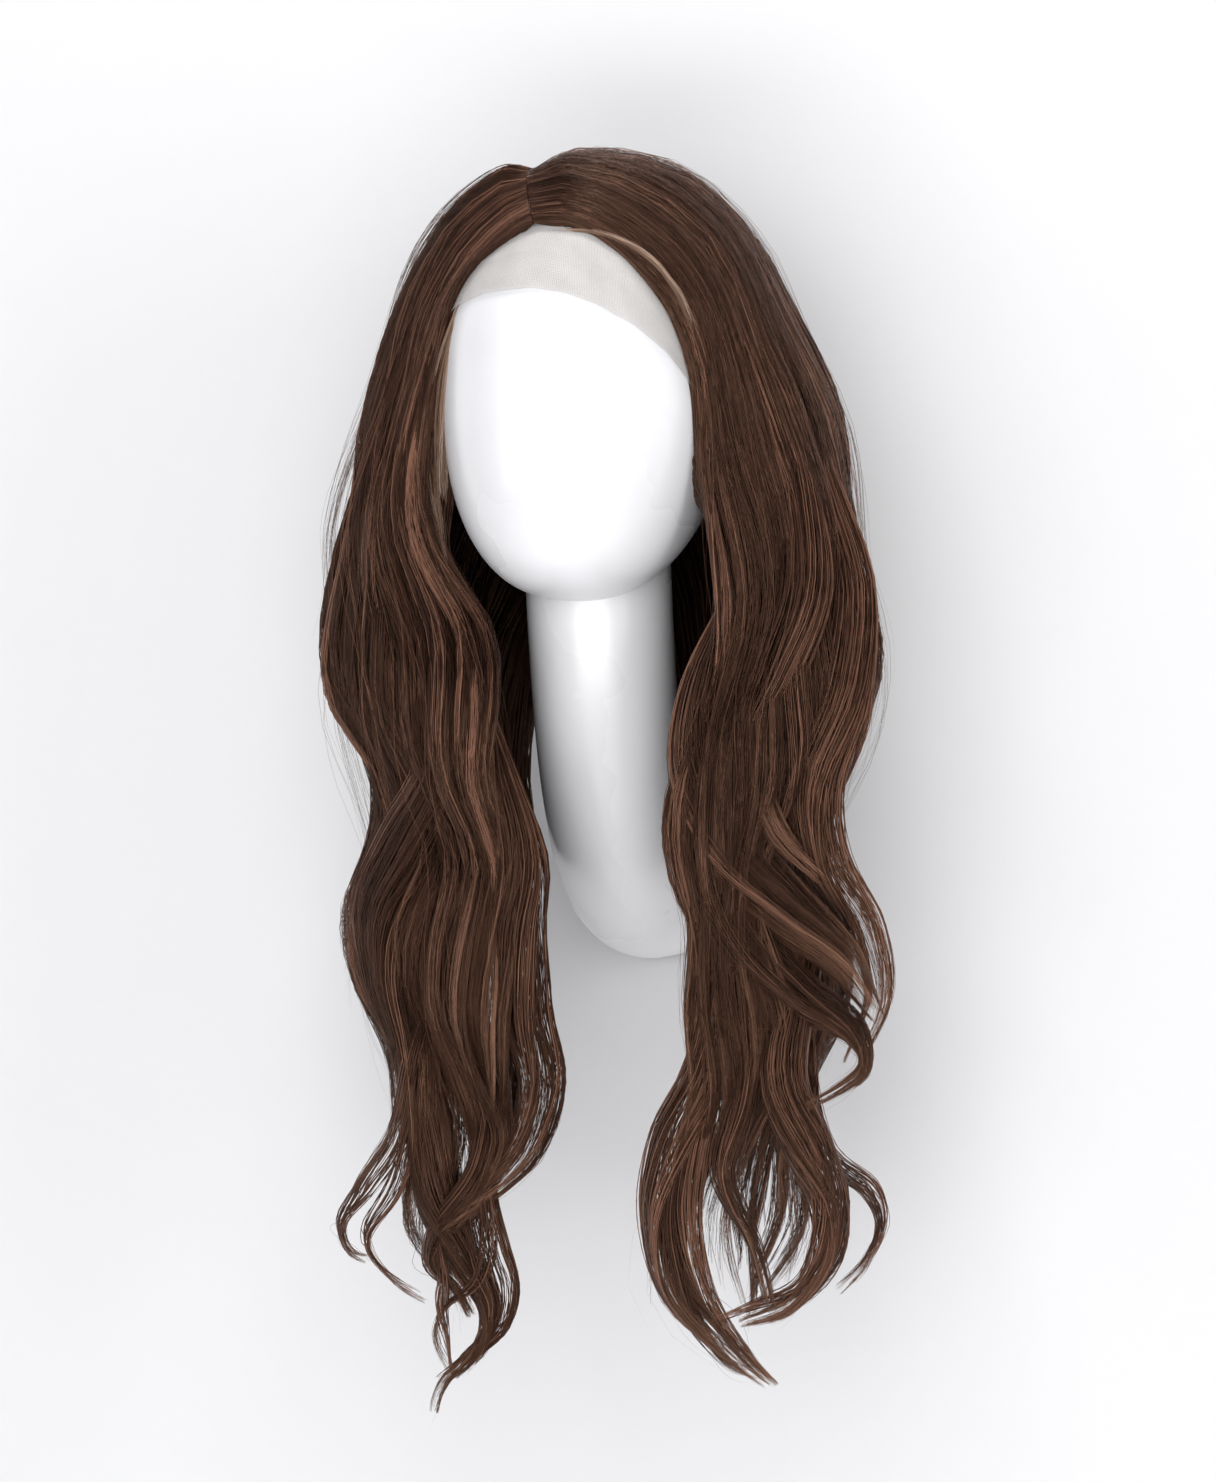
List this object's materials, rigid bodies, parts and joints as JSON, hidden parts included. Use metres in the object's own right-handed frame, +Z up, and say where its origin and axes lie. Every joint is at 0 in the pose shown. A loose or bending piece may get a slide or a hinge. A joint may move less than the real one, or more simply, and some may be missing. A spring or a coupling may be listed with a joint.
{
  "type": "mannequin training head",
  "caption": "Faceless gloss white mannequin head on a curved neck that hangs on a wall plate, wearing a long wavy brown lace-front wig that lifts off.",
  "frame": {"origin": "on the wall, at the centre of the neck's end, on the back face of the wall plate", "axes": "+Z up; the face looks along -Y, away from the wall; +Y points into the wall; +X is on the right of someone who looks at the face"},
  "size_m": [0.3062, 0.254, 0.6475],
  "materials": {
    "gloss_white": "gloss",
    "birch_ply": "matte",
    "zinc_steel": "satin",
    "black_foam": "matte",
    "sheer_lace": "matte",
    "cap_net": "matte",
    "elastic": "matte",
    "comb_plastic": "gloss",
    "brown_hair": "satin"
  },
  "bodies": {
    "wall_mount": {"wall_plate": "zinc_steel", "hook_stud_left": "zinc_steel", "hook_stud_right": "zinc_steel"},
    "head": {"face_shell": "gloss_white", "rear_shell": "gloss_white", "neck_plug": "birch_ply", "keyhole_plate": "zinc_steel", "plate_screw_1": "zinc_steel", "plate_screw_2": "zinc_steel", "plate_screw_3": "zinc_steel", "plate_screw_4": "zinc_steel", "wall_pad": "black_foam"},
    "wig": {"crown_net": "cap_net", "lace_front": "sheer_lace", "ear_tab_left": "elastic", "ear_tab_right": "elastic", "nape_band": "elastic", "strap_left": "elastic", "strap_right": "elastic", "temple_comb_left": "comb_plastic", "temple_comb_right": "comb_plastic", "weft_track_1": "cap_net", "weft_track_2": "cap_net", "weft_track_3": "cap_net", "weft_track_4": "cap_net", "weft_track_5": "cap_net", "crown_hair_left": "brown_hair", "crown_hair_right": "brown_hair", "front_lock_left": "brown_hair", "front_lock_right": "brown_hair", "side_lock_left": "brown_hair", "side_lock_right": "brown_hair", "back_lock_left": "brown_hair", "back_lock_right": "brown_hair"}
  },
  "joints": [
    {"name": "unhook", "type": "slide", "parent": "wall_mount", "child": "head", "axis": [0, 0, 1], "range_m": [0, 0.01]},
    {"name": "wig_lift", "type": "slide", "parent": "head", "child": "wig", "axis": [0, 0, 1], "range_m": [0, 0.66], "deforming": ["crown_net", "lace_front", "ear_tab_left", "ear_tab_right", "nape_band", "strap_left", "strap_right", "temple_comb_left", "temple_comb_right", "weft_track_1", "weft_track_2", "weft_track_3", "weft_track_4", "weft_track_5", "crown_hair_left", "crown_hair_right", "front_lock_left", "front_lock_right", "side_lock_left", "side_lock_right", "back_lock_left", "back_lock_right"]}
  ]
}
